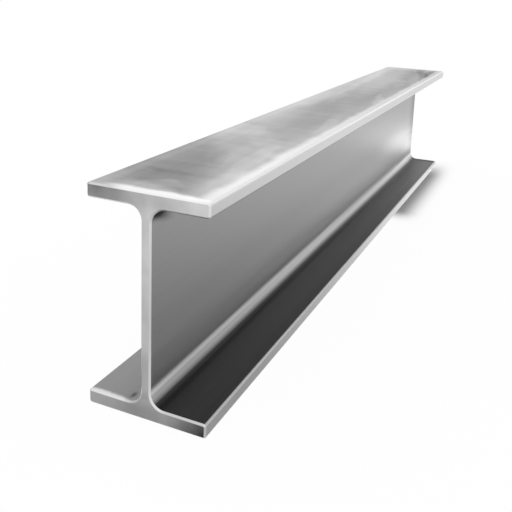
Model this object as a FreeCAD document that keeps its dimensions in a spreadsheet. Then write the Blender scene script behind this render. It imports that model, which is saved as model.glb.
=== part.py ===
import FreeCAD, Part
import math
import os
import Sketcher

# Hot-rolled steel H-beam, one piece of stock cut to length.
# Its section is rolled whole: a web, two flanges with parallel faces, a root fillet in each inner corner,
# and flange toes that are barely rounded. Both ends are sawn square, and their sharp edge is ground off.
# Frame: +X along the beam, +Y across the flanges, +Z up. The origin is at the middle of the underside.

DIMENSIONS_MM = {
    "beam_length": 400.0,
    "section_depth": 80.0,
    "flange_width": 46.0,
    "flange_thickness": 5.2,
    "web_thickness": 3.8,
    "root_radius": 5.0,
    "toe_radius": 1.0,
    "end_chamfer": 0.6,
}

NODE = "h_beam"
SAME_PLACE_MM = 1e-4


def make_sheet(doc):
    """The driving dimensions, one aliased cell each."""
    sheet = doc.addObject("Spreadsheet::Sheet", "Sizes")
    for row, (alias, value) in enumerate(DIMENSIONS_MM.items(), start=1):
        sheet.set(f"A{row}", alias)
        sheet.set(f"B{row}", str(value))
        sheet.setAlias(f"B{row}", alias)
    doc.recompute()
    return sheet


def origin_plane(body, role):
    """One of the body's own origin planes."""
    return next(feature for feature in body.Origin.OriginFeatures if feature.Role == role)


def section_corners(sheet):
    """The corners of the section as (y, z, radius), anticlockwise from the top right toe."""
    side = sheet.flange_width / 2
    web = sheet.web_thickness / 2
    top = sheet.section_depth
    under_top = top - sheet.flange_thickness
    over_bottom = sheet.flange_thickness
    toe, root = sheet.toe_radius, sheet.root_radius
    left_half = [
        (-side, top, toe),
        (-side, under_top, toe),
        (-web, under_top, root),
        (-web, over_bottom, root),
        (-side, over_bottom, toe),
        (-side, 0.0, toe),
    ]
    right_half = [(-y, z, radius) for y, z, radius in reversed(left_half)]
    return [right_half[-1]] + left_half + right_half[:-1]


def corner_arc(before, corner, after):
    """The arc that rounds a corner, and whether the outline turns left there, as it does at a toe."""
    here = FreeCAD.Vector(corner[0], corner[1], 0)
    radius = corner[2]
    back = (FreeCAD.Vector(before[0], before[1], 0) - here).normalize()
    ahead = (FreeCAD.Vector(after[0], after[1], 0) - here).normalize()
    centre = here + (back + ahead) * radius
    turns_left = back.cross(ahead).z < 0
    first, last = (-ahead, -back) if turns_left else (-back, -ahead)
    start_angle = math.atan2(first.y, first.x)
    end_angle = math.atan2(last.y, last.x)
    circle = Part.Circle(centre, FreeCAD.Vector(0, 0, 1), radius)
    arc = Part.ArcOfCircle(circle, start_angle, end_angle)
    return arc, turns_left


def draw_section(body, sheet):
    """The rolled section, fully constrained: a line for each face and a tangent arc for each corner."""
    sketch = body.newObject("Sketcher::SketchObject", "SectionSketch")
    sketch.AttachmentSupport = [(origin_plane(body, "YZ_Plane"), "")]
    sketch.MapMode = "FlatFace"
    # How a sketch numbers the two ends of a curve, and its own two axes.
    start, end = 1, 2
    horizontal_axis, vertical_axis = -1, -2

    # An arc always runs anticlockwise, so where the outline turns right, at a root, it enters by the
    # arc's end.
    corners = section_corners(sheet)
    arcs, enters, leaves = [], [], []
    for before, corner, after in zip([corners[-1]] + corners, corners, corners[1:] + [corners[0]]):
        arc, turns_left = corner_arc(before, corner, after)
        arcs.append(sketch.addGeometry(arc))
        enters.append(start if turns_left else end)
        leaves.append(end if turns_left else start)

    lines = []
    for index, arc in enumerate(arcs):
        following = (index + 1) % len(arcs)
        here = sketch.getPoint(arc, leaves[index])
        there = sketch.getPoint(arcs[following], enters[following])
        line = sketch.addGeometry(Part.LineSegment(here, there))
        sketch.addConstraint(Sketcher.Constraint("Tangent", line, start, arc, leaves[index]))
        sketch.addConstraint(Sketcher.Constraint("Tangent", line, end, arcs[following], enters[following]))
        lines.append(line)

    (top_face, top_left_toe, top_left_under, web_left, bottom_left_over, bottom_left_toe,
     bottom_face, bottom_right_toe, bottom_right_over, web_right, top_right_under, top_right_toe) = lines
    for line in (top_left_under, bottom_left_over, bottom_right_over, top_right_under):
        sketch.addConstraint(Sketcher.Constraint("Horizontal", line))
    for line in (top_left_toe, bottom_left_toe, bottom_right_toe, top_right_toe, web_left, web_right):
        sketch.addConstraint(Sketcher.Constraint("Vertical", line))
    sketch.addConstraint(
        [
            Sketcher.Constraint("Symmetric", top_face, start, top_face, end, vertical_axis),
            Sketcher.Constraint("Symmetric", bottom_face, start, bottom_face, end, vertical_axis),
            Sketcher.Constraint("Symmetric", web_left, start, web_right, end, vertical_axis),
            Sketcher.Constraint("PointOnObject", bottom_face, start, horizontal_axis),
            Sketcher.Constraint("Vertical", top_left_toe, end, bottom_left_toe, start),
            Sketcher.Constraint("Horizontal", bottom_left_over, start, bottom_right_over, end),
        ]
    )

    roots = [arcs[index] for index, corner in enumerate(corners) if abs(corner[0]) < sheet.flange_width / 2]
    toes = [arc for arc in arcs if arc not in roots]
    for alike in (roots, toes):
        for arc in alike[1:]:
            sketch.addConstraint(Sketcher.Constraint("Equal", alike[0], arc))

    driven = [
        ("depth", "section_depth", ("DistanceY", bottom_face, start, top_face, end)),
        ("width", "flange_width", ("DistanceX", top_left_toe, start, top_right_toe, end)),
        ("web", "web_thickness", ("DistanceX", web_left, start, web_right, end)),
        ("top_flange", "flange_thickness", ("DistanceY", top_left_under, start, top_face, end)),
        ("bottom_flange", "flange_thickness", ("DistanceY", bottom_face, start, bottom_left_over, start)),
        ("root", "root_radius", ("Radius", roots[0])),
        ("toe", "toe_radius", ("Radius", toes[0])),
    ]
    for name, alias, (kind, *where) in driven:
        number = sketch.addConstraint(Sketcher.Constraint(kind, *where, sheet.get(alias)))
        sketch.renameConstraint(number, name)
        sketch.setExpression(f"Constraints.{name}", f"{sheet.Name}.{alias}")
    return sketch


def roll_beam(body, sheet, sketch):
    """The section drawn out to the cut length, half of it each way from the origin."""
    pad = body.newObject("PartDesign::Pad", "RolledLength")
    pad.Profile = sketch
    pad.SideType = "Symmetric"
    pad.setExpression("Length", f"{sheet.Name}.beam_length")
    return pad


def grind_ends(body, sheet, pad):
    """The saw's sharp edge taken off all round both ends."""
    half = sheet.beam_length / 2
    rim = []
    for number, edge in enumerate(pad.Shape.Edges, start=1):
        box = edge.BoundBox
        if box.XLength < SAME_PLACE_MM and abs(abs(box.XMin) - half) < SAME_PLACE_MM:
            rim.append(f"Edge{number}")
    chamfer = body.newObject("PartDesign::Chamfer", "GroundEnds")
    chamfer.Base = (pad, rim)
    chamfer.setExpression("Size", f"{sheet.Name}.end_chamfer")
    return chamfer


def check(doc, body):
    """Stops before anything is written if a feature failed or the beam isn't one sound solid."""
    for item in doc.Objects:
        if "Invalid" in item.State or "Error" in item.State:
            raise RuntimeError(f"{item.Label} failed: {item.State}")
    shape = body.Shape
    if shape.isNull() or not shape.isValid() or len(shape.Solids) != 1:
        raise RuntimeError(f"{body.Label} isn't one valid solid")


def main():
    doc = FreeCAD.newDocument("HBeam")
    sheet = make_sheet(doc)
    body = doc.addObject("PartDesign::Body", "Beam")
    body.Label = NODE
    sketch = draw_section(body, sheet)
    doc.recompute()
    pad = roll_beam(body, sheet, sketch)
    doc.recompute()
    grind_ends(body, sheet, pad)
    doc.recompute()
    check(doc, body)

    os.makedirs("parts", exist_ok=True)
    body.Shape.exportStep(f"parts/{body.Label}.step")
    print(f"{body.Label}: {body.Shape.Volume / 1000:.1f} cm3, {len(body.Shape.Faces)} faces")


main()
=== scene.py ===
import math

import bpy
from mathutils import Matrix, Vector


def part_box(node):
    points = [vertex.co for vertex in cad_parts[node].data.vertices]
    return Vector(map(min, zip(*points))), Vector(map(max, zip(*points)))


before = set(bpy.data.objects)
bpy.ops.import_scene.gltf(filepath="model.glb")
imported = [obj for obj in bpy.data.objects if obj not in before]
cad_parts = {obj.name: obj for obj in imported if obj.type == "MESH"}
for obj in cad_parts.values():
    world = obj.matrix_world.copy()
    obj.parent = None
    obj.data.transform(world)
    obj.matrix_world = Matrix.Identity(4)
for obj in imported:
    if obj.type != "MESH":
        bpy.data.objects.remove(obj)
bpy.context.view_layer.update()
MM = 0.001

# The beam is one length of structural steel, its web and both flanges rolled as one piece. It was cut to
# length on a saw, and the sharp edge was ground off both ends. Nothing is fixed to it, so its solid is the
# whole shape, and this section gives it its finish.
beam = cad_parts["h_beam"]
beam_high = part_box("h_beam")[1]
HALF_LENGTH = beam_high.x
HALF_WIDTH = beam_high.y
HALF_DEPTH = beam_high.z / 2


def linear(hex_colour):
    """An sRGB hex colour as the linear RGBA that Blender's sockets take."""
    channels = (int(hex_colour[start:start + 2], 16) / 255 for start in (1, 3, 5))
    return tuple(c / 12.92 if c <= 0.04045 else ((c + 0.055) / 1.055) ** 2.4 for c in channels) + (1.0,)


def add_node(tree, kind, inputs=None, **settings):
    """A shader node with its settings. An input is a value, a socket, or a node to link from."""
    node = tree.nodes.new(kind)
    for name, value in settings.items():
        setattr(node, name, value)
    for name, value in (inputs or {}).items():
        source = value.outputs[0] if isinstance(value, bpy.types.Node) else value
        if isinstance(source, bpy.types.NodeSocket):
            tree.links.new(source, node.inputs[name])
        else:
            node.inputs[name].default_value = source
    return node


# Hot-rolled steel with most of its mill scale gone: a satin grey metal that is never quite even. It carries
# faint lines along the roll, slanting strokes on the outer faces that are partly wiped marks and partly
# painted reflection, and rubbed toes. Painted highlights lie along the margins, the toe edges and the lower
# roots. Scale darkens the inner faces of the flanges, and painted shade darkens them further, in corners and
# at the far end. The sawn ends are cleaner and lighter, with painted light and shade on them.
steel = bpy.data.materials.new("hot_rolled_steel")
steel.use_nodes = True
tree = steel.node_tree
tree.nodes.clear()
coordinates = add_node(tree, "ShaderNodeTexCoord")
place = add_node(tree, "ShaderNodeSeparateXYZ", {0: coordinates.outputs["Object"]})

# The way the surface faces, with its sign and without it.
turned = add_node(tree, "ShaderNodeSeparateXYZ", {0: coordinates.outputs["Normal"]})
facing = add_node(
    tree, "ShaderNodeSeparateXYZ",
    {0: add_node(tree, "ShaderNodeVectorMath", {0: coordinates.outputs["Normal"]}, operation="ABSOLUTE")},
)

# Where a point lies: how far from the middle of the length and in from the nearer sawn end, how far from the
# middle of the web and in from the flange toe, and how far above the middle of the depth or away from it.
from_centre = add_node(tree, "ShaderNodeMath", {0: place.outputs["X"]}, operation="ABSOLUTE")
from_end = add_node(tree, "ShaderNodeMath", {0: HALF_LENGTH, 1: from_centre}, operation="SUBTRACT")
from_web = add_node(tree, "ShaderNodeMath", {0: place.outputs["Y"]}, operation="ABSOLUTE")
from_toe = add_node(tree, "ShaderNodeMath", {0: HALF_WIDTH, 1: from_web}, operation="SUBTRACT")
height = add_node(tree, "ShaderNodeMath", {0: place.outputs["Z"], 1: HALF_DEPTH}, operation="SUBTRACT")
from_middle = add_node(tree, "ShaderNodeMath", {0: height}, operation="ABSOLUTE")
lower_half = add_node(tree, "ShaderNodeMath", {0: height, 1: 0.0}, operation="LESS_THAN")

# The wear and the painted light change along the beam, so this runs from 0 at the near end to 1 at the far
# end.
along_beam = add_node(
    tree, "ShaderNodeMapRange",
    {"Value": place.outputs["X"], "From Min": -HALF_LENGTH, "From Max": HALF_LENGTH},
)

# Which face it is. The outer faces blend in over the toe's rounding, and what isn't on them counts as in a
# channel. A face is square on to a direction when its normal lies almost along it.
SQUARE_ON = 0.9
TOE_RADIUS_MM = 1.0
ROUNDED_TOE_MM = 1.2
OUTER_SKIN_MM = 0.4
outer_face = add_node(
    tree, "ShaderNodeMapRange",
    {
        "Value": from_middle,
        "From Min": HALF_DEPTH - ROUNDED_TOE_MM * MM,
        "From Max": HALF_DEPTH - OUTER_SKIN_MM * MM,
    },
)
in_channel = add_node(tree, "ShaderNodeMath", {0: 1.0, 1: outer_face}, operation="SUBTRACT")
sawn_end = add_node(
    tree, "ShaderNodeMath", {0: facing.outputs["X"], 1: SQUARE_ON}, operation="GREATER_THAN",
)
toe_flat = add_node(
    tree, "ShaderNodeMath",
    {
        0: add_node(tree, "ShaderNodeMath", {0: facing.outputs["Y"], 1: SQUARE_ON}, operation="GREATER_THAN"),
        1: add_node(tree, "ShaderNodeMath", {0: from_toe, 1: TOE_RADIUS_MM * MM}, operation="LESS_THAN"),
    },
    operation="MULTIPLY",
)

# The rounded upper edge of a toe turns between facing up and facing sideways.
TURN_BEGINS = 0.15
TURN_FULL = 0.45
FACES_UP = 0.1
rounded = add_node(
    tree, "ShaderNodeMapRange",
    {
        "Value": add_node(
            tree, "ShaderNodeMath", {0: facing.outputs["Y"], 1: facing.outputs["Z"]}, operation="MINIMUM",
        ),
        "From Min": TURN_BEGINS,
        "From Max": TURN_FULL,
    },
)
upper_toe = add_node(
    tree, "ShaderNodeMath",
    {
        0: add_node(tree, "ShaderNodeMath", {0: turned.outputs["Z"], 1: FACES_UP}, operation="GREATER_THAN"),
        1: add_node(tree, "ShaderNodeMath", {0: from_toe, 1: ROUNDED_TOE_MM * MM}, operation="LESS_THAN"),
    },
    operation="MULTIPLY",
)
toe_edge = add_node(tree, "ShaderNodeMath", {0: rounded, 1: upper_toe}, operation="MULTIPLY")

# The ground edge round each sawn end slopes and is ground bright. A painted highlight makes it shine most on
# its right and lower sides, and leaves it duller on the left.
GROUND_SLOPE = 0.4
SLIGHT_TURN = 0.2
UNDER_TURN = 0.6
GROUND_LEFT_SHARE = 0.35
GROUND_UNDER_SHARE = 1.4
at_cut = add_node(
    tree, "ShaderNodeMath", {0: facing.outputs["X"], 1: GROUND_SLOPE}, operation="GREATER_THAN",
)
ground_edge = add_node(tree, "ShaderNodeMath", {0: at_cut, 1: sawn_end}, operation="SUBTRACT")
off_ground_edge = add_node(tree, "ShaderNodeMath", {0: 1.0, 1: ground_edge}, operation="SUBTRACT")
highlit_right = add_node(
    tree, "ShaderNodeMapRange",
    {
        "Value": turned.outputs["Y"],
        "From Min": -SLIGHT_TURN,
        "From Max": SLIGHT_TURN,
        "To Min": 1.0,
        "To Max": GROUND_LEFT_SHARE,
    },
)
highlit_under = add_node(
    tree, "ShaderNodeMapRange",
    {
        "Value": turned.outputs["Z"],
        "From Min": -SLIGHT_TURN,
        "From Max": -UNDER_TURN,
        "To Max": GROUND_UNDER_SHARE,
    },
)
ground_highlight_share = add_node(tree, "ShaderNodeMath", {0: highlit_right, 1: highlit_under}, operation="MAXIMUM")
ground_wear_and_highlight = add_node(tree, "ShaderNodeMath", {0: ground_edge, 1: ground_highlight_share}, operation="MULTIPLY")

# Painted highlights run along the edges of the outer faces, and their inner border wanders. Along the toes
# they are wider at the near end and strongest at the middle of the length. They fade towards the left toe, so
# the right side carries the highlight.
WANDER_MM = 11
TOE_WANDER_MM = 4.0
END_WANDER_MM = 3.6
TOE_MARGIN_NEAR_MM = 9.8
TOE_MARGIN_FAR_MM = 7.3
TOE_MARGIN_CORE_MM = 4.6
MARGIN_AT_MIDDLE = 0.98
MARGIN_AT_ENDS = 0.52
LEFT_TOE_SHARE = 0.05
wander = add_node(
    tree, "ShaderNodeTexNoise",
    {"Vector": coordinates.outputs["Object"], "Scale": 1 / (WANDER_MM * MM), "Detail": 3.0, "Roughness": 0.6},
)
toe_wandering = add_node(
    tree, "ShaderNodeMath", {0: wander, 1: TOE_WANDER_MM * MM, 2: from_toe}, operation="MULTIPLY_ADD",
)
margin_strength = add_node(
    tree, "ShaderNodeMapRange",
    {"Value": from_centre, "From Max": HALF_LENGTH, "To Min": MARGIN_AT_MIDDLE, "To Max": MARGIN_AT_ENDS},
)
margin_width = add_node(
    tree, "ShaderNodeMapRange",
    {"Value": along_beam, "To Min": TOE_MARGIN_NEAR_MM * MM, "To Max": TOE_MARGIN_FAR_MM * MM},
)
toe_margin = add_node(
    tree, "ShaderNodeMapRange",
    {
        "Value": toe_wandering,
        "From Min": margin_width,
        "From Max": TOE_MARGIN_CORE_MM * MM,
        "To Max": margin_strength,
    },
    interpolation_type="SMOOTHSTEP",
)
highlit_side = add_node(
    tree, "ShaderNodeMapRange",
    {
        "Value": place.outputs["Y"],
        "From Min": -HALF_WIDTH / 2,
        "From Max": HALF_WIDTH,
        "To Min": 1.0,
        "To Max": LEFT_TOE_SHARE,
    },
)
toe_margin = add_node(tree, "ShaderNodeMath", {0: toe_margin, 1: highlit_side}, operation="MULTIPLY")

# The painted highlight along a sawn edge is narrower. It fades towards the left corner, and a little at the
# right one.
END_MARGIN_MM = 7.0
END_MARGIN_CORE_MM = 4.1
END_MARGIN_SHARE = 0.88
LEFT_FADE_MM = (8, 19)
LEFT_CORNER_SHARE = 0.15
RIGHT_FADE_MM = (-22, -15)
RIGHT_CORNER_SHARE = 0.75
end_wandering = add_node(
    tree, "ShaderNodeMath", {0: wander, 1: END_WANDER_MM * MM, 2: from_end}, operation="MULTIPLY_ADD",
)
end_margin = add_node(
    tree, "ShaderNodeMapRange",
    {
        "Value": end_wandering,
        "From Min": END_MARGIN_MM * MM,
        "From Max": END_MARGIN_CORE_MM * MM,
        "To Max": END_MARGIN_SHARE,
    },
    interpolation_type="SMOOTHSTEP",
)
left_corner = add_node(
    tree, "ShaderNodeMapRange",
    {
        "Value": place.outputs["Y"],
        "From Min": LEFT_FADE_MM[0] * MM,
        "From Max": LEFT_FADE_MM[1] * MM,
        "To Min": 1.0,
        "To Max": LEFT_CORNER_SHARE,
    },
    interpolation_type="SMOOTHSTEP",
)
right_corner = add_node(
    tree, "ShaderNodeMapRange",
    {
        "Value": place.outputs["Y"],
        "From Min": RIGHT_FADE_MM[0] * MM,
        "From Max": RIGHT_FADE_MM[1] * MM,
        "To Min": RIGHT_CORNER_SHARE,
    },
)
end_margin = add_node(tree, "ShaderNodeMath", {0: end_margin, 1: left_corner}, operation="MULTIPLY")
end_margin = add_node(tree, "ShaderNodeMath", {0: end_margin, 1: right_corner}, operation="MULTIPLY")
margin = add_node(tree, "ShaderNodeMath", {0: toe_margin, 1: end_margin}, operation="MAXIMUM")
margin_highlight = add_node(tree, "ShaderNodeMath", {0: margin, 1: outer_face}, operation="MULTIPLY")

# A painted highlight lies as a bright strip along the sawn edges of the lower flange, in the left channel.
LEFT_CHANNEL_MM = (5, 9)
LEFT_STRIP_MM = 4.1
LEFT_STRIP_CORE_MM = 2.5
left_channel = add_node(
    tree, "ShaderNodeMapRange",
    {
        "Value": place.outputs["Y"],
        "From Min": LEFT_CHANNEL_MM[0] * MM,
        "From Max": LEFT_CHANNEL_MM[1] * MM,
    },
)
left_channel = add_node(tree, "ShaderNodeMath", {0: left_channel, 1: in_channel}, operation="MULTIPLY")
left_strip_highlight = add_node(
    tree, "ShaderNodeMapRange",
    {"Value": end_wandering, "From Min": LEFT_STRIP_MM * MM, "From Max": LEFT_STRIP_CORE_MM * MM},
    interpolation_type="SMOOTHSTEP",
)
left_strip_highlight = add_node(tree, "ShaderNodeMath", {0: left_strip_highlight, 1: left_channel}, operation="MULTIPLY")

# A painted highlight lies along the lower root fillets: a bright crest where the web turns into the fillet,
# strong at the near end, and a flank below it that grows brighter towards the far end. The band fades between
# its knee and its foot, which both sink towards the far end. A soft painted haze of light lies above it on
# the web. The heights are in mm above the underside.
WEB_AND_ROOT_MM = 7.0
ROOT_TOP_MM = 10.2
ROOT_ABOVE_MM = 2.6
ROOT_FULL_MM = 0.2
ROOT_FLANK_MM = 1.6
ROOT_FOOT_MM = (6.2, 5.6)
ROOT_KNEE_MM = (8.4, 6.6)
ROOT_CREST_SHARE = (0.80, 0.15)
ROOT_FLANK_SHARE = (0.13, 0.42)
HAZE_TOP_MM = 38
beside_web = add_node(tree, "ShaderNodeMath", {0: from_web, 1: WEB_AND_ROOT_MM * MM}, operation="LESS_THAN")
at_lower_root = add_node(tree, "ShaderNodeMath", {0: beside_web, 1: lower_half}, operation="MULTIPLY")
root_rise = add_node(
    tree, "ShaderNodeMapRange",
    {
        "Value": from_middle,
        "From Min": HALF_DEPTH - (ROOT_TOP_MM + ROOT_ABOVE_MM) * MM,
        "From Max": HALF_DEPTH - (ROOT_TOP_MM - ROOT_FULL_MM) * MM,
    },
    interpolation_type="SMOOTHSTEP",
)
root_foot = add_node(
    tree, "ShaderNodeMapRange",
    {
        "Value": along_beam,
        "To Min": HALF_DEPTH - ROOT_FOOT_MM[0] * MM,
        "To Max": HALF_DEPTH - ROOT_FOOT_MM[1] * MM,
    },
)
root_knee = add_node(
    tree, "ShaderNodeMapRange",
    {
        "Value": along_beam,
        "To Min": HALF_DEPTH - ROOT_KNEE_MM[0] * MM,
        "To Max": HALF_DEPTH - ROOT_KNEE_MM[1] * MM,
    },
)
root_fall = add_node(
    tree, "ShaderNodeMapRange",
    {"Value": from_middle, "From Min": root_foot, "From Max": root_knee},
    interpolation_type="SMOOTHSTEP",
)
root_band = add_node(tree, "ShaderNodeMath", {0: root_rise, 1: root_fall}, operation="MULTIPLY")
root_band = add_node(tree, "ShaderNodeMath", {0: root_band, 1: at_lower_root}, operation="MULTIPLY")
root_crest = add_node(
    tree, "ShaderNodeMapRange",
    {"Value": along_beam, "To Min": ROOT_CREST_SHARE[0], "To Max": ROOT_CREST_SHARE[1]},
)
root_flank = add_node(
    tree, "ShaderNodeMapRange",
    {"Value": along_beam, "To Min": ROOT_FLANK_SHARE[0], "To Max": ROOT_FLANK_SHARE[1]},
)
root_strength = add_node(
    tree, "ShaderNodeMapRange",
    {
        "Value": from_middle,
        "From Min": HALF_DEPTH - ROOT_TOP_MM * MM,
        "From Max": HALF_DEPTH - (ROOT_TOP_MM - ROOT_FLANK_MM) * MM,
        "To Min": root_crest,
        "To Max": root_flank,
    },
    interpolation_type="SMOOTHSTEP",
)
root_highlight = add_node(tree, "ShaderNodeMath", {0: root_band, 1: root_strength}, operation="MULTIPLY")
painted_root_haze = add_node(
    tree, "ShaderNodeMapRange",
    {"Value": place.outputs["Z"], "From Min": HAZE_TOP_MM * MM, "From Max": ROOT_TOP_MM * MM},
    interpolation_type="SMOOTHSTEP",
)
painted_root_haze = add_node(tree, "ShaderNodeMath", {0: painted_root_haze, 1: at_lower_root}, operation="MULTIPLY")
painted_root_haze = add_node(tree, "ShaderNodeMath", {0: painted_root_haze, 1: root_fall}, operation="MULTIPLY")

# Slings rubbed the toes bright. On the lower toes a painted reflection changes that, darker at the near end
# and lighter towards the far end. The upper edge of a toe carries a painted highlight on the right, and
# painted shade on the left, most of all at the near end.
TOE_SHARE = 0.42
LOWER_TOE_REFLECTED_CHANGE = (-0.14, 0.52)
EDGE_SHADE_NEAR_TONE = -0.28
EDGE_SHADE_FAR_TONE = -0.15
EDGE_SHADE_NEAR_LENGTH = 0.35
lower_toe_reflection = add_node(
    tree, "ShaderNodeMapRange",
    {"Value": along_beam, "To Min": LOWER_TOE_REFLECTED_CHANGE[0], "To Max": LOWER_TOE_REFLECTED_CHANGE[1]},
)
toe_strength = add_node(
    tree, "ShaderNodeMath", {0: lower_toe_reflection, 1: lower_half, 2: TOE_SHARE}, operation="MULTIPLY_ADD",
)
toe_rub_and_reflection = add_node(tree, "ShaderNodeMath", {0: toe_flat, 1: toe_strength}, operation="MULTIPLY")
toe_edge_highlight = add_node(tree, "ShaderNodeMath", {0: toe_edge, 1: highlit_side}, operation="MULTIPLY")
shaded_side = add_node(
    tree, "ShaderNodeMapRange", {"Value": place.outputs["Y"], "From Min": 0.0, "From Max": HALF_WIDTH},
)
toe_edge_shade = add_node(tree, "ShaderNodeMath", {0: shaded_side, 1: toe_edge}, operation="MULTIPLY")
toe_edge_shade_tone = add_node(
    tree, "ShaderNodeMapRange",
    {"Value": along_beam, "From Max": EDGE_SHADE_NEAR_LENGTH, "To Min": EDGE_SHADE_NEAR_TONE, "To Max": EDGE_SHADE_FAR_TONE},
)

# Rubbed places and painted highlights together, 0 for rolled skin to 1 for bright steel, each with its
# strength.
rubbed_and_highlit = margin_highlight
for rub, strength in (
    (root_highlight, 1.0),
    (toe_rub_and_reflection, 1.0),
    (toe_edge_highlight, 0.72),
    (ground_wear_and_highlight, 0.7),
    (left_strip_highlight, 0.72),
):
    this_rub = add_node(tree, "ShaderNodeMath", {0: rub, 1: strength}, operation="MULTIPLY")
    rubbed_and_highlit = add_node(tree, "ShaderNodeMath", {0: rubbed_and_highlit, 1: this_rub}, operation="MAXIMUM")

# Both outer faces carry long soft strokes, paler or darker than the skin: partly wiped marks and partly
# painted reflection. Each stroke gives its middle along and across the beam in mm, its slant in degrees, half
# its length and half its width in mm, and its change of tone. A noise bends them all, by half of
# STROKE_BEND_MM each way.
STROKES = (
    (-156, 17, 22, 76, 23, -0.21),
    (-118, -6, 26, 42, 8, 0.05),
    (-150, 0, 20, 16, 5, -0.06),
    (-95, 16, 48, 20, 12, 0.09),
    (-148, -12, 5, 42, 6, 0.12),
    (-65, -14, 4, 30, 4, 0.10),
    (-196, 1, 90, 15, 9, 0.23),
    (-45, -1, 3, 62, 10, -0.06),
    (80, 22, 1, 185, 14, 0.23),
    (142, 10, 6, 122, 18, 0.21),
    (108, -9, 10, 30, 5, 0.09),
    (42, 10, 4, 58, 5, 0.08),
    (196, 0, 90, 32, 15, 0.14),
    (172, -17, 3, 34, 4, -0.22),
    (-187, 0, -74, 11, 4, 0.08),
    (-174, 7, 86, 13, 4, -0.06),
    (165, -13, 13, 62, 5, -0.19),
    (25, -15, 8, 30, 3, 0.12),
)
STROKE_BEND_MM = (24, 9)
STROKE_BEND_SIZE_MM = 22
STROKE_CORE = 0.45
ANY_HEIGHT = 1000.0
stroke_bend = add_node(
    tree, "ShaderNodeTexNoise",
    {
        "Vector": coordinates.outputs["Object"],
        "Scale": 1 / (STROKE_BEND_SIZE_MM * MM),
        "Detail": 3.0,
        "Roughness": 0.55,
    },
)
stroke_place = add_node(
    tree, "ShaderNodeVectorMath",
    {
        0: stroke_bend.outputs["Color"],
        1: (STROKE_BEND_MM[0] * MM, STROKE_BEND_MM[1] * MM, 0.0),
        2: coordinates.outputs["Object"],
    },
    operation="MULTIPLY_ADD",
)
strokes = 0.0
for along, across, slant_deg, half_length, half_width, stroke_tone in STROKES:
    in_stroke = add_node(
        tree, "ShaderNodeMapping",
        {
            "Vector": stroke_place,
            "Location": ((along + STROKE_BEND_MM[0] / 2) * MM, (across + STROKE_BEND_MM[1] / 2) * MM, 0.0),
            "Rotation": (0.0, 0.0, math.radians(slant_deg)),
            "Scale": (half_length * MM, half_width * MM, ANY_HEIGHT),
        },
        vector_type="TEXTURE",
    )
    from_stroke = add_node(tree, "ShaderNodeVectorMath", {0: in_stroke}, operation="LENGTH")
    stroke = add_node(
        tree, "ShaderNodeMapRange",
        {
            "Value": from_stroke.outputs["Value"],
            "From Min": 1.0,
            "From Max": STROKE_CORE,
            "To Max": stroke_tone,
        },
        interpolation_type="SMOOTHSTEP",
    )
    strokes = add_node(tree, "ShaderNodeMath", {0: strokes, 1: stroke}, operation="ADD")

# Cloudy unevenness of the rolled skin, longer along the roll than across it, and slanting a little.
CLOUD_SIZE_MM = (60, 14, 40)
CLOUD_SLANT_DEG = 24
clouds = add_node(
    tree, "ShaderNodeTexNoise",
    {
        "Vector": add_node(
            tree, "ShaderNodeMapping",
            {
                "Vector": coordinates.outputs["Object"],
                "Rotation": (0.0, 0.0, -math.radians(CLOUD_SLANT_DEG)),
                "Scale": [1 / (size * MM) for size in CLOUD_SIZE_MM],
            },
        ),
        "Scale": 1.0,
        "Detail": 3.0,
        "Roughness": 0.55,
    },
)

# Short marks across the flange, where it crossed the rollers of the cooling bed.
CROSS_MARK_SIZE_MM = (7, 26, 60)
cross_marks = add_node(
    tree, "ShaderNodeTexNoise",
    {
        "Vector": add_node(
            tree, "ShaderNodeMapping",
            {
                "Vector": coordinates.outputs["Object"],
                "Scale": [1 / (size * MM) for size in CROSS_MARK_SIZE_MM],
            },
        ),
        "Scale": 1.0,
        "Detail": 2.0,
        "Roughness": 0.5,
    },
)

# Fine lines drawn out along the roll, and the grain of the skin. The real ones are too fine to show singly at
# this size, so they are drawn coarser.
ROLL_LINE_SIZE_MM = (70, 0.9, 0.9)
GRAIN_MM = 0.9
roll_lines = add_node(
    tree, "ShaderNodeTexNoise",
    {
        "Vector": add_node(
            tree, "ShaderNodeMapping",
            {
                "Vector": coordinates.outputs["Object"],
                "Scale": [1 / (size * MM) for size in ROLL_LINE_SIZE_MM],
            },
        ),
        "Scale": 1.0,
        "Detail": 3.0,
        "Roughness": 0.6,
    },
)
grain = add_node(
    tree, "ShaderNodeTexNoise",
    {"Vector": coordinates.outputs["Object"], "Scale": 1 / (GRAIN_MM * MM), "Detail": 3.0, "Roughness": 0.6},
)

# Tone runs from 0 for the dullest scale to 1 for bright steel. The inner faces of the flanges keep their
# scale, thinner in the left channel. Painted shade darkens the right channel much more, and both close to the
# root.
SKIN_TONE = 0.30
LEFT_SCALE_TONE = 0.235
RIGHT_SCALE_AND_SHADE_TONE = (0.033, 0.068)
LEFT_ROOT_SHARE = 0.78
WEB_MIDDLE_MM = (-1, 1)
ROOT_SHADE_MM = (4, 17)
LEVEL_FACE = (0.42, 0.72)
level_face = add_node(
    tree, "ShaderNodeMapRange",
    {"Value": facing.outputs["Z"], "From Min": LEVEL_FACE[0], "From Max": LEVEL_FACE[1]},
)
scaly = add_node(tree, "ShaderNodeMath", {0: in_channel, 1: level_face}, operation="MULTIPLY")
scaly = add_node(tree, "ShaderNodeMath", {0: scaly, 1: off_ground_edge}, operation="MULTIPLY")
left_side = add_node(
    tree, "ShaderNodeMapRange",
    {"Value": place.outputs["Y"], "From Min": WEB_MIDDLE_MM[0] * MM, "From Max": WEB_MIDDLE_MM[1] * MM},
)
right_scale_and_shade = add_node(
    tree, "ShaderNodeMapRange",
    {"Value": along_beam, "To Min": RIGHT_SCALE_AND_SHADE_TONE[0], "To Max": RIGHT_SCALE_AND_SHADE_TONE[1]},
)
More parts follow.
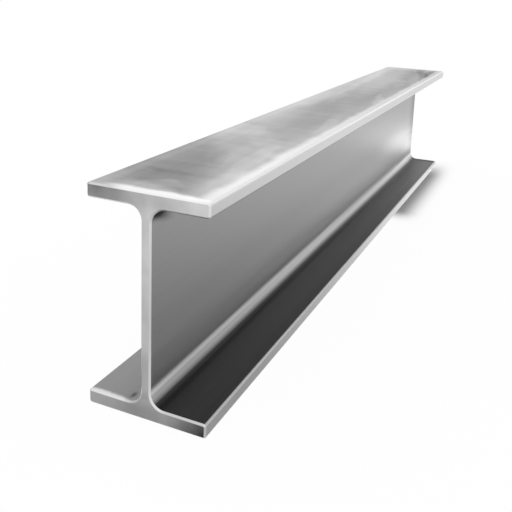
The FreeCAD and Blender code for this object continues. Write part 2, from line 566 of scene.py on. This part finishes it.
side_scale_and_shade = add_node(
    tree, "ShaderNodeMapRange", {"Value": left_side, "To Min": right_scale_and_shade, "To Max": LEFT_SCALE_TONE},
)
root_share = add_node(tree, "ShaderNodeMapRange", {"Value": left_side, "To Max": LEFT_ROOT_SHARE})
out_of_root = add_node(
    tree, "ShaderNodeMapRange",
    {
        "Value": from_web,
        "From Min": ROOT_SHADE_MM[0] * MM,
        "From Max": ROOT_SHADE_MM[1] * MM,
        "To Min": root_share,
    },
)
scale_and_shade_tone = add_node(tree, "ShaderNodeMath", {0: side_scale_and_shade, 1: out_of_root}, operation="MULTIPLY")
skin = add_node(tree, "ShaderNodeMapRange", {"Value": scaly, "To Min": SKIN_TONE, "To Max": scale_and_shade_tone})

# Wear and painted light lighten the skin: the rubbed places and painted highlights most, then the painted
# haze above the lower roots, a faint painted halo beside the toe margins, and the outer faces as a whole.
# Only the toe edges on the left are darker, with painted shade.
RUB_AND_HIGHLIGHT_TONE = 0.67
HALO_TONE = 0.10
HALO_MM = (18, 6)
OUTER_TONE = 0.06
HAZE_TONE = 0.24
halo = add_node(
    tree, "ShaderNodeMapRange",
    {"Value": toe_wandering, "From Min": HALO_MM[0] * MM, "From Max": HALO_MM[1] * MM},
    interpolation_type="SMOOTHSTEP",
)
halo = add_node(tree, "ShaderNodeMath", {0: halo, 1: outer_face}, operation="MULTIPLY")
halo = add_node(tree, "ShaderNodeMath", {0: halo, 1: highlit_side}, operation="MULTIPLY")
tone = skin
for worn, worn_tone in (
    (painted_root_haze, HAZE_TONE),
    (rubbed_and_highlit, RUB_AND_HIGHLIGHT_TONE),
    (halo, HALO_TONE),
    (outer_face, OUTER_TONE),
    (toe_edge_shade, toe_edge_shade_tone),
):
    tone = add_node(tree, "ShaderNodeMath", {0: worn, 1: worn_tone, 2: tone}, operation="MULTIPLY_ADD")

# At the far end, painted shade darkens the steel in the channels close to the cut, and the web from a little
# further in.
FAR_CUT_MM = (7, 3)
FAR_CUT_TONE = -0.20
FAR_WEB_MM = (20, 6)
FAR_WEB_TONE = -0.12
far_cut = add_node(
    tree, "ShaderNodeMapRange",
    {
        "Value": place.outputs["X"],
        "From Min": HALF_LENGTH - FAR_CUT_MM[0] * MM,
        "From Max": HALF_LENGTH - FAR_CUT_MM[1] * MM,
        "To Max": FAR_CUT_TONE,
    },
    interpolation_type="SMOOTHSTEP",
)
off_toe = add_node(tree, "ShaderNodeMath", {0: from_toe, 1: ROUNDED_TOE_MM * MM}, operation="GREATER_THAN")
far_cut = add_node(tree, "ShaderNodeMath", {0: far_cut, 1: off_toe}, operation="MULTIPLY")
far_web = add_node(
    tree, "ShaderNodeMapRange",
    {
        "Value": place.outputs["X"],
        "From Min": HALF_LENGTH - FAR_WEB_MM[0] * MM,
        "From Max": HALF_LENGTH - FAR_WEB_MM[1] * MM,
        "To Max": FAR_WEB_TONE,
    },
    interpolation_type="SMOOTHSTEP",
)
far_web = add_node(tree, "ShaderNodeMath", {0: far_web, 1: beside_web}, operation="MULTIPLY")
far_shade = add_node(tree, "ShaderNodeMath", {0: far_cut, 1: far_web}, operation="MINIMUM")
tone = add_node(tree, "ShaderNodeMath", {0: far_shade, 1: in_channel, 2: tone}, operation="MULTIPLY_ADD")

# Painted light and shade in the channels: two spots of painted shade in the corners by the near end, a
# painted highlight on the right of the web, and painted highlights and shade along its lower root. Each gives
# its middle in mm from the near end, across and up, its tilt in degrees, half its length, width and height in
# mm, and its change of tone.
CHANNEL_LIGHT_AND_SHADE = (
    (0.5, -3, 73.4, 20, (13, 4, 2.4), -0.36),
    (4, 7.0, 5.4, 0, (2.3, 1.2, 1.2), -0.17),
    (338, -2, 31, 0, (48, 3, 9), 0.09),
    (130, -2.5, 10.0, 0, (85, 3, 3.0), 0.12),
    (90, -2, 15.8, 0, (90, 3, 3.2), 0.06),
    (376, -2.5, 11.5, 0, (33, 3, 4.5), -0.10),
)
MARK_BORDER = 1.35
MARK_CORE = 0.15
for from_near_end, across, up, tilt_deg, half_size, light_and_shade_tone in CHANNEL_LIGHT_AND_SHADE:
    in_mark = add_node(
        tree, "ShaderNodeMapping",
        {
            "Vector": coordinates.outputs["Object"],
            "Location": (from_near_end * MM - HALF_LENGTH, across * MM, up * MM),
            "Rotation": (0.0, math.radians(tilt_deg), 0.0),
            "Scale": [half * MM for half in half_size],
        },
        vector_type="TEXTURE",
    )
    from_mark = add_node(tree, "ShaderNodeVectorMath", {0: in_mark}, operation="LENGTH")
    mark = add_node(
        tree, "ShaderNodeMapRange",
        {
            "Value": from_mark.outputs["Value"],
            "From Min": MARK_BORDER,
            "From Max": MARK_CORE,
            "To Max": light_and_shade_tone,
        },
        interpolation_type="SMOOTHSTEP",
    )
    tone = add_node(tree, "ShaderNodeMath", {0: mark, 1: off_ground_edge, 2: tone}, operation="MULTIPLY_ADD")

# Strokes, clouds and cross marks show on the outer faces, and the roll lines everywhere, but less on scale.
# Each pattern changes the tone by its amount at most, and it fades on the rubbed places and the painted
# highlights. A noise seldom leaves the range from NOISE_LOW to NOISE_HIGH.
CLOUD_TONE = 0.04
CROSS_MARK_TONE = 0.03
ROLL_LINE_TONE = 0.02
NOISE_LOW = 0.3
NOISE_HIGH = 0.7
SCALE_LINE_SHARE = 0.25
WORN_AT = 0.5
WORN_SHARE = 0.3
patches = add_node(tree, "ShaderNodeMath", {0: strokes, 1: outer_face}, operation="MULTIPLY")
lined = add_node(tree, "ShaderNodeMapRange", {"Value": scaly, "To Min": 1.0, "To Max": SCALE_LINE_SHARE})
for pattern, shown_on, pattern_tone in (
    (clouds, outer_face, CLOUD_TONE),
    (cross_marks, outer_face, CROSS_MARK_TONE),
    (roll_lines, lined, ROLL_LINE_TONE),
):
    unevenness = add_node(
        tree, "ShaderNodeMapRange",
        {
            "Value": pattern,
            "From Min": NOISE_LOW,
            "From Max": NOISE_HIGH,
            "To Min": -pattern_tone,
            "To Max": pattern_tone,
        },
    )
    patches = add_node(
        tree, "ShaderNodeMath", {0: unevenness, 1: shown_on, 2: patches}, operation="MULTIPLY_ADD",
    )
on_skin = add_node(
    tree, "ShaderNodeMapRange",
    {"Value": rubbed_and_highlit, "From Max": WORN_AT, "To Min": 1.0, "To Max": WORN_SHARE},
)
tone = add_node(tree, "ShaderNodeMath", {0: patches, 1: on_skin, 2: tone}, operation="MULTIPLY_ADD")

# The saw left each end clean and lighter, with random clouds. Painted light and shade lie over it: lighter at
# the top right than at the top left, a little darker left of the web, on the flanges and towards the top, and
# at the near end a painted shadow darkens the lower right corner.
SAW_TONE = 0.525
SAW_LEFT_TONE = -0.03
SAW_LEFT_MM = (-1, 1.5)
SAW_FOOT_TONE = 0.07
SAW_HEAD_TONE = -0.065
SAW_FLANGE_TONE = -0.105
SAW_FLANGE_MM = (8, 4)
TOP_LEFT_TONE = -0.18
TOP_RIGHT_TONE = 0.20
TOP_RIGHT_MM = -18
CORNER_SHADOW_TONE = -0.44
CORNER_SHADOW_MM = (19, 2)
SAW_CLOUD_MM = 16
SAW_CLOUD_TONE = 0.1
upward = add_node(tree, "ShaderNodeMath", {0: height, 1: 0.0}, operation="MAXIMUM")
saw_skew = add_node(
    tree, "ShaderNodeMapRange",
    {
        "Value": place.outputs["Y"],
        "From Min": HALF_WIDTH,
        "From Max": TOP_RIGHT_MM * MM,
        "To Min": TOP_LEFT_TONE / HALF_DEPTH,
        "To Max": TOP_RIGHT_TONE / HALF_DEPTH,
    },
    interpolation_type="SMOOTHSTEP",
)
saw_tone = add_node(tree, "ShaderNodeMath", {0: saw_skew, 1: upward, 2: SAW_TONE}, operation="MULTIPLY_ADD")
saw_left = add_node(
    tree, "ShaderNodeMapRange",
    {
        "Value": place.outputs["Y"],
        "From Min": SAW_LEFT_MM[0] * MM,
        "From Max": SAW_LEFT_MM[1] * MM,
        "To Max": SAW_LEFT_TONE,
    },
)
saw_rise = add_node(
    tree, "ShaderNodeMapRange",
    {
        "Value": height,
        "From Min": -HALF_DEPTH,
        "From Max": HALF_DEPTH,
        "To Min": SAW_FOOT_TONE,
        "To Max": SAW_HEAD_TONE,
    },
)
saw_flange = add_node(
    tree, "ShaderNodeMapRange",
    {
        "Value": from_middle,
        "From Min": HALF_DEPTH - SAW_FLANGE_MM[0] * MM,
        "From Max": HALF_DEPTH - SAW_FLANGE_MM[1] * MM,
        "To Max": SAW_FLANGE_TONE,
    },
)
from_shaded_corner = add_node(
    tree, "ShaderNodeVectorMath",
    {0: coordinates.outputs["Object"], 1: (-HALF_LENGTH, -HALF_WIDTH, 0.0)},
    operation="DISTANCE",
)
corner_shadow = add_node(
    tree, "ShaderNodeMapRange",
    {
        "Value": from_shaded_corner.outputs["Value"],
        "From Min": CORNER_SHADOW_MM[0] * MM,
        "From Max": CORNER_SHADOW_MM[1] * MM,
        "To Max": CORNER_SHADOW_TONE,
    },
    interpolation_type="SMOOTHSTEP",
)
saw_clouds = add_node(
    tree, "ShaderNodeTexNoise",
    {
        "Vector": coordinates.outputs["Object"],
        "Scale": 1 / (SAW_CLOUD_MM * MM),
        "Detail": 3.0,
        "Roughness": 0.5,
    },
)
saw_unevenness = add_node(
    tree, "ShaderNodeMapRange",
    {
        "Value": saw_clouds,
        "From Min": NOISE_LOW,
        "From Max": NOISE_HIGH,
        "To Min": -SAW_CLOUD_TONE,
        "To Max": SAW_CLOUD_TONE,
    },
)
for saw_shade in (saw_left, saw_rise, saw_flange, corner_shadow, saw_unevenness):
    saw_tone = add_node(tree, "ShaderNodeMath", {0: saw_tone, 1: saw_shade}, operation="ADD")
tone = add_node(tree, "ShaderNodeMix", {0: sawn_end, 2: tone, 3: saw_tone}, data_type="FLOAT")

# The colour of each tone: scale is nearly black at 0, dull steel grey just above it, and bright steel almost
# white at 1.
DULL_TONE = 0.06
colour = add_node(tree, "ShaderNodeValToRGB", {0: tone})
colour.color_ramp.elements[0].color = linear("#303030")
colour.color_ramp.elements[1].color = linear("#eeeeee")
colour.color_ramp.elements.new(DULL_TONE).color = linear("#626262")

# Rubbed and highlit steel is a little smoother than the skin, and the lines along the roll break its gloss
# up.
# The highlit toe edges and lower roots are rougher, so they spread the light, the roots most at the near end.
SKIN_ROUGHNESS = (0.36, 0.44)
RUB_AND_HIGHLIGHT_ROUGHNESS = -0.08
TOE_EDGE_ROUGHNESS = 0.3
ROOT_ROUGHNESS = (0.44, 0.08)
roughness = add_node(
    tree, "ShaderNodeMapRange",
    {
        "Value": roll_lines,
        "From Min": NOISE_LOW,
        "From Max": NOISE_HIGH,
        "To Min": SKIN_ROUGHNESS[0],
        "To Max": SKIN_ROUGHNESS[1],
    },
)
root_roughness = add_node(
    tree, "ShaderNodeMapRange",
    {"Value": along_beam, "To Min": ROOT_ROUGHNESS[0], "To Max": ROOT_ROUGHNESS[1]},
)
for worn, more_roughness in (
    (rubbed_and_highlit, RUB_AND_HIGHLIGHT_ROUGHNESS),
    (toe_edge_highlight, TOE_EDGE_ROUGHNESS),
    (root_band, root_roughness),
):
    roughness = add_node(
        tree, "ShaderNodeMath", {0: worn, 1: more_roughness, 2: roughness}, operation="MULTIPLY_ADD",
    )

# The relief is far finer than the solid's own shape: a rolled skin, and straight scratches on the sawn ends.
# Real scratches are too fine to show, so they are drawn coarser. The band texture turns through 20 radians
# in each unit of its scale.
SKIN_RELIEF_MM = 0.012
SAW_RELIEF_MM = 0.006
SCRATCH_SPACING_MM = 5.655
SCRATCH_TILT_DEG = 28
BAND_RADIANS = 20
scratches = add_node(
    tree, "ShaderNodeTexWave",
    {
        "Vector": add_node(
            tree, "ShaderNodeMapping",
            {
                "Vector": coordinates.outputs["Object"],
                "Rotation": (math.radians(SCRATCH_TILT_DEG), 0.0, 0.0),
            },
        ),
        "Scale": 2 * math.pi / (BAND_RADIANS * SCRATCH_SPACING_MM * MM),
        "Distortion": 3.0,
        "Detail": 2.0,
        "Detail Scale": 1.5,
    },
    wave_type="BANDS",
    bands_direction="Z",
)
skin_height = add_node(tree, "ShaderNodeMath", {0: roll_lines, 1: grain}, operation="ADD")
skin_relief = add_node(tree, "ShaderNodeMath", {0: skin_height, 1: SKIN_RELIEF_MM * MM}, operation="MULTIPLY")
saw_relief = add_node(tree, "ShaderNodeMath", {0: scratches, 1: SAW_RELIEF_MM * MM}, operation="MULTIPLY")
relief = add_node(tree, "ShaderNodeMix", {0: sawn_end, 2: skin_relief, 3: saw_relief}, data_type="FLOAT")
bump = add_node(tree, "ShaderNodeBump", {"Height": relief, "Strength": 1.0, "Distance": 1.0})
shader = add_node(
    tree, "ShaderNodeBsdfPrincipled",
    {"Base Color": colour, "Metallic": 1.0, "Roughness": roughness, "Normal": bump},
)
add_node(tree, "ShaderNodeOutputMaterial", {"Surface": shader})
beam.data.materials.clear()
beam.data.materials.append(steel)

# The floor is a wide sweep of matt white paper. The beam's soft shadow shows on it beside the far toe, where
# a painted shadow greys the paper, and elsewhere the paper looks an even white. Metal sees it as white too,
# with painted light and shade on it, brightest beyond the far end.
FLOOR_SIZE = 12.0
bpy.ops.object.select_all(action="DESELECT")
bpy.ops.mesh.primitive_plane_add(size=FLOOR_SIZE, location=(0, 0, 0))
floor = bpy.context.object
floor.name = "floor"
paper = bpy.data.materials.new("white_paper")
paper.use_nodes = True
tree = paper.node_tree
tree.nodes.clear()
rays = add_node(tree, "ShaderNodeLightPath")
paper_place = add_node(tree, "ShaderNodeTexCoord")
ground = add_node(tree, "ShaderNodeSeparateXYZ", {0: paper_place.outputs["Object"]})

# The patch of shadow, real and painted: for each of its sides, the axis, where the shadow ends and where it
# is full, in mm.
SHADOW_SIDES = (
    ("Y", -41.5, -23.5),
    ("Y", 0, -10),
    ("X", 44, 70),
    ("X", 232, 165),
)
by_far_toe = 1.0
for axis, ends, full in SHADOW_SIDES:
    this_side = add_node(
        tree, "ShaderNodeMapRange",
        {"Value": ground.outputs[axis], "From Min": ends * MM, "From Max": full * MM},
        interpolation_type="SMOOTHSTEP",
    )
    by_far_toe = add_node(tree, "ShaderNodeMath", {0: by_far_toe, 1: this_side}, operation="MULTIPLY")

# The share of its own even white that the paper shows: to the camera everywhere but in the patch, and to
# metal, though not to light that the paper has already scattered.
WHITE_SHARE = 0.95
MIRRORED_SHARE = 0.7
FIRST_BOUNCE = 1.0
mirrored = add_node(
    tree, "ShaderNodeMath",
    {0: rays.outputs["Is Glossy Ray"], 1: rays.outputs["Is Transmission Ray"]},
    operation="MAXIMUM",
)
first_hand = add_node(
    tree, "ShaderNodeMath", {0: rays.outputs["Diffuse Depth"], 1: FIRST_BOUNCE}, operation="LESS_THAN",
)
mirrored = add_node(tree, "ShaderNodeMath", {0: mirrored, 1: first_hand}, operation="MULTIPLY")
mirrored_share = add_node(tree, "ShaderNodeMath", {0: mirrored, 1: MIRRORED_SHARE}, operation="MULTIPLY")
seen_share = add_node(
    tree, "ShaderNodeMapRange", {"Value": by_far_toe, "To Min": WHITE_SHARE, "To Max": 0.0},
)
white_share = add_node(
    tree, "ShaderNodeMath",
    {0: rays.outputs["Is Camera Ray"], 1: seen_share, 2: mirrored_share},
    operation="MULTIPLY_ADD",
)

# How bright metal sees the paper. Each zone gives its middle along and across in mm, half its length and half
# its width in mm, the share of it that is at full strength, and its change of brightness: dim round the near
# end and at the foot of the far end, bright beyond the far end and in a strip beside the far toe.
PAPER_LEVEL = 1.3
PAPER_ZONES = (
    (-170, -50, 270, 270, 0.0, -0.85),
    (214, -11, 42, 32, 0.7, -2.4),
    (306, -36, 118, 42, 0.1, 2.4),
    (198, -25, 21, 4, 0.6, 2.3),
)
lit = PAPER_LEVEL
for along, across, half_length, half_width, core, zone_level in PAPER_ZONES:
    in_zone = add_node(
        tree, "ShaderNodeMapping",
        {
            "Vector": paper_place.outputs["Object"],
            "Location": (along * MM, across * MM, 0.0),
            "Scale": (half_length * MM, half_width * MM, 1.0),
        },
        vector_type="TEXTURE",
    )
    from_zone = add_node(tree, "ShaderNodeVectorMath", {0: in_zone}, operation="LENGTH")
    zone = add_node(
        tree, "ShaderNodeMapRange",
        {"Value": from_zone.outputs["Value"], "From Min": 1.0, "From Max": core, "To Max": zone_level},
    )
    lit = add_node(tree, "ShaderNodeMath", {0: lit, 1: zone}, operation="ADD")
lit = add_node(tree, "ShaderNodeMath", {0: lit, 1: 0.0}, operation="MAXIMUM")
white_level = add_node(tree, "ShaderNodeMapRange", {"Value": mirrored, "To Min": 1.0, "To Max": lit})
white = add_node(tree, "ShaderNodeEmission", {"Color": (1, 1, 1, 1), "Strength": white_level})
# The paper is painted grey in the patch, as a painted shadow.
paper_shadow_colour = add_node(tree, "ShaderNodeValToRGB", {0: by_far_toe})
paper_shadow_colour.color_ramp.elements[0].color = linear("#f4f4f4")
paper_shadow_colour.color_ramp.elements[1].color = linear("#9c9c9c")
matt = add_node(tree, "ShaderNodeBsdfDiffuse", {"Color": paper_shadow_colour})
sheet = add_node(tree, "ShaderNodeMixShader", {0: white_share, 1: matt, 2: white})
add_node(tree, "ShaderNodeOutputMaterial", {"Surface": sheet})
floor.data.materials.append(paper)

# The studio is a plain white room. One patch of it, beyond the far end and a little above it, is left unlit,
# and the top flange mirrors it as its soft grey.
ROOM_LEVEL = 1.1
UNLIT_LEVEL = 0.32
UNLIT_WAY = (0.955, 0.17, 0.24)
UNLIT_BORDER = 0.30
UNLIT_CORE = 0.08
world = bpy.data.worlds.new("studio")
world.use_nodes = True
tree = world.node_tree
tree.nodes.clear()
direction = add_node(tree, "ShaderNodeTexCoord")
from_unlit = add_node(
    tree, "ShaderNodeVectorMath", {0: direction.outputs["Generated"], 1: UNLIT_WAY}, operation="DISTANCE",
)
unlit = add_node(
    tree, "ShaderNodeMapRange",
    {"Value": from_unlit.outputs["Value"], "From Min": UNLIT_BORDER, "From Max": UNLIT_CORE},
    interpolation_type="SMOOTHSTEP",
)
room_level = add_node(
    tree, "ShaderNodeMapRange", {"Value": unlit, "To Min": ROOM_LEVEL, "To Max": UNLIT_LEVEL},
)
room = add_node(tree, "ShaderNodeBackground", {"Color": (1, 1, 1, 1), "Strength": room_level})
add_node(tree, "ShaderNodeOutputWorld", {"Surface": room})
bpy.context.scene.world = world

# One soft lamp, a softbox, stands beyond the far end, low enough to shine along the top flange. The camera
# doesn't see it.
SOFTBOX_LOW = (1.5, -0.5, 0.2)
SOFTBOX_HIGH = (1.5, 0.9, 1.0)
SOFTBOX_BACK = (1, 0, 0.25)
SOFTBOX_WATTS = 0.9
softbox_data = bpy.data.lights.new("softbox", "AREA")
softbox_data.shape = "RECTANGLE"
softbox_data.size = SOFTBOX_HIGH[1] - SOFTBOX_LOW[1]
softbox_data.size_y = SOFTBOX_HIGH[2] - SOFTBOX_LOW[2]
softbox_data.energy = SOFTBOX_WATTS
softbox = bpy.data.objects.new("softbox", softbox_data)
bpy.context.scene.collection.objects.link(softbox)
softbox.location = (Vector(SOFTBOX_LOW) + Vector(SOFTBOX_HIGH)) / 2
softbox.rotation_euler = Vector(SOFTBOX_BACK).to_track_quat("Z", "Y").to_euler()
softbox.visible_camera = False

# The camera stands a little over two beam depths off the near end, to its right and above the top flange,
# and looks along the beam. The photograph's uprights stay parallel, so the lens is shifted down as on a view
# camera instead of being tilted all the way.
CAMERA_PLACE_MM = (-380.6, -117.3, 146.1)
TURN_DEG = 23.96
DIP_DEG = 11.76
ROLL_DEG = 2.04
LENS_MM = 49.7
SENSOR_MM = 36.0
SHIFT_DOWN = 0.25
NEAREST_SEEN = 0.01

turn, dip, roll = (math.radians(angle) for angle in (TURN_DEG, DIP_DEG, ROLL_DEG))
ahead = Vector((math.cos(turn) * math.cos(dip), math.sin(turn) * math.cos(dip), -math.sin(dip)))
level_right = ahead.cross(Vector((0, 0, 1))).normalized()
level_up = level_right.cross(ahead)
right = level_right * math.cos(roll) + level_up * math.sin(roll)
up = level_up * math.cos(roll) - level_right * math.sin(roll)

camera_data = bpy.data.cameras.new("camera")
camera_data.lens = LENS_MM
camera_data.sensor_width = SENSOR_MM
camera_data.shift_y = -SHIFT_DOWN
camera_data.clip_start = NEAREST_SEEN
camera = bpy.data.objects.new("camera", camera_data)
bpy.context.scene.collection.objects.link(camera)
camera.matrix_world = (
    Matrix.Translation(Vector(CAMERA_PLACE_MM) * MM)
    @ Matrix((right, up, -ahead)).transposed().to_4x4()
)
bpy.context.scene.camera = camera
bpy.context.scene.view_settings.view_transform = "Standard"
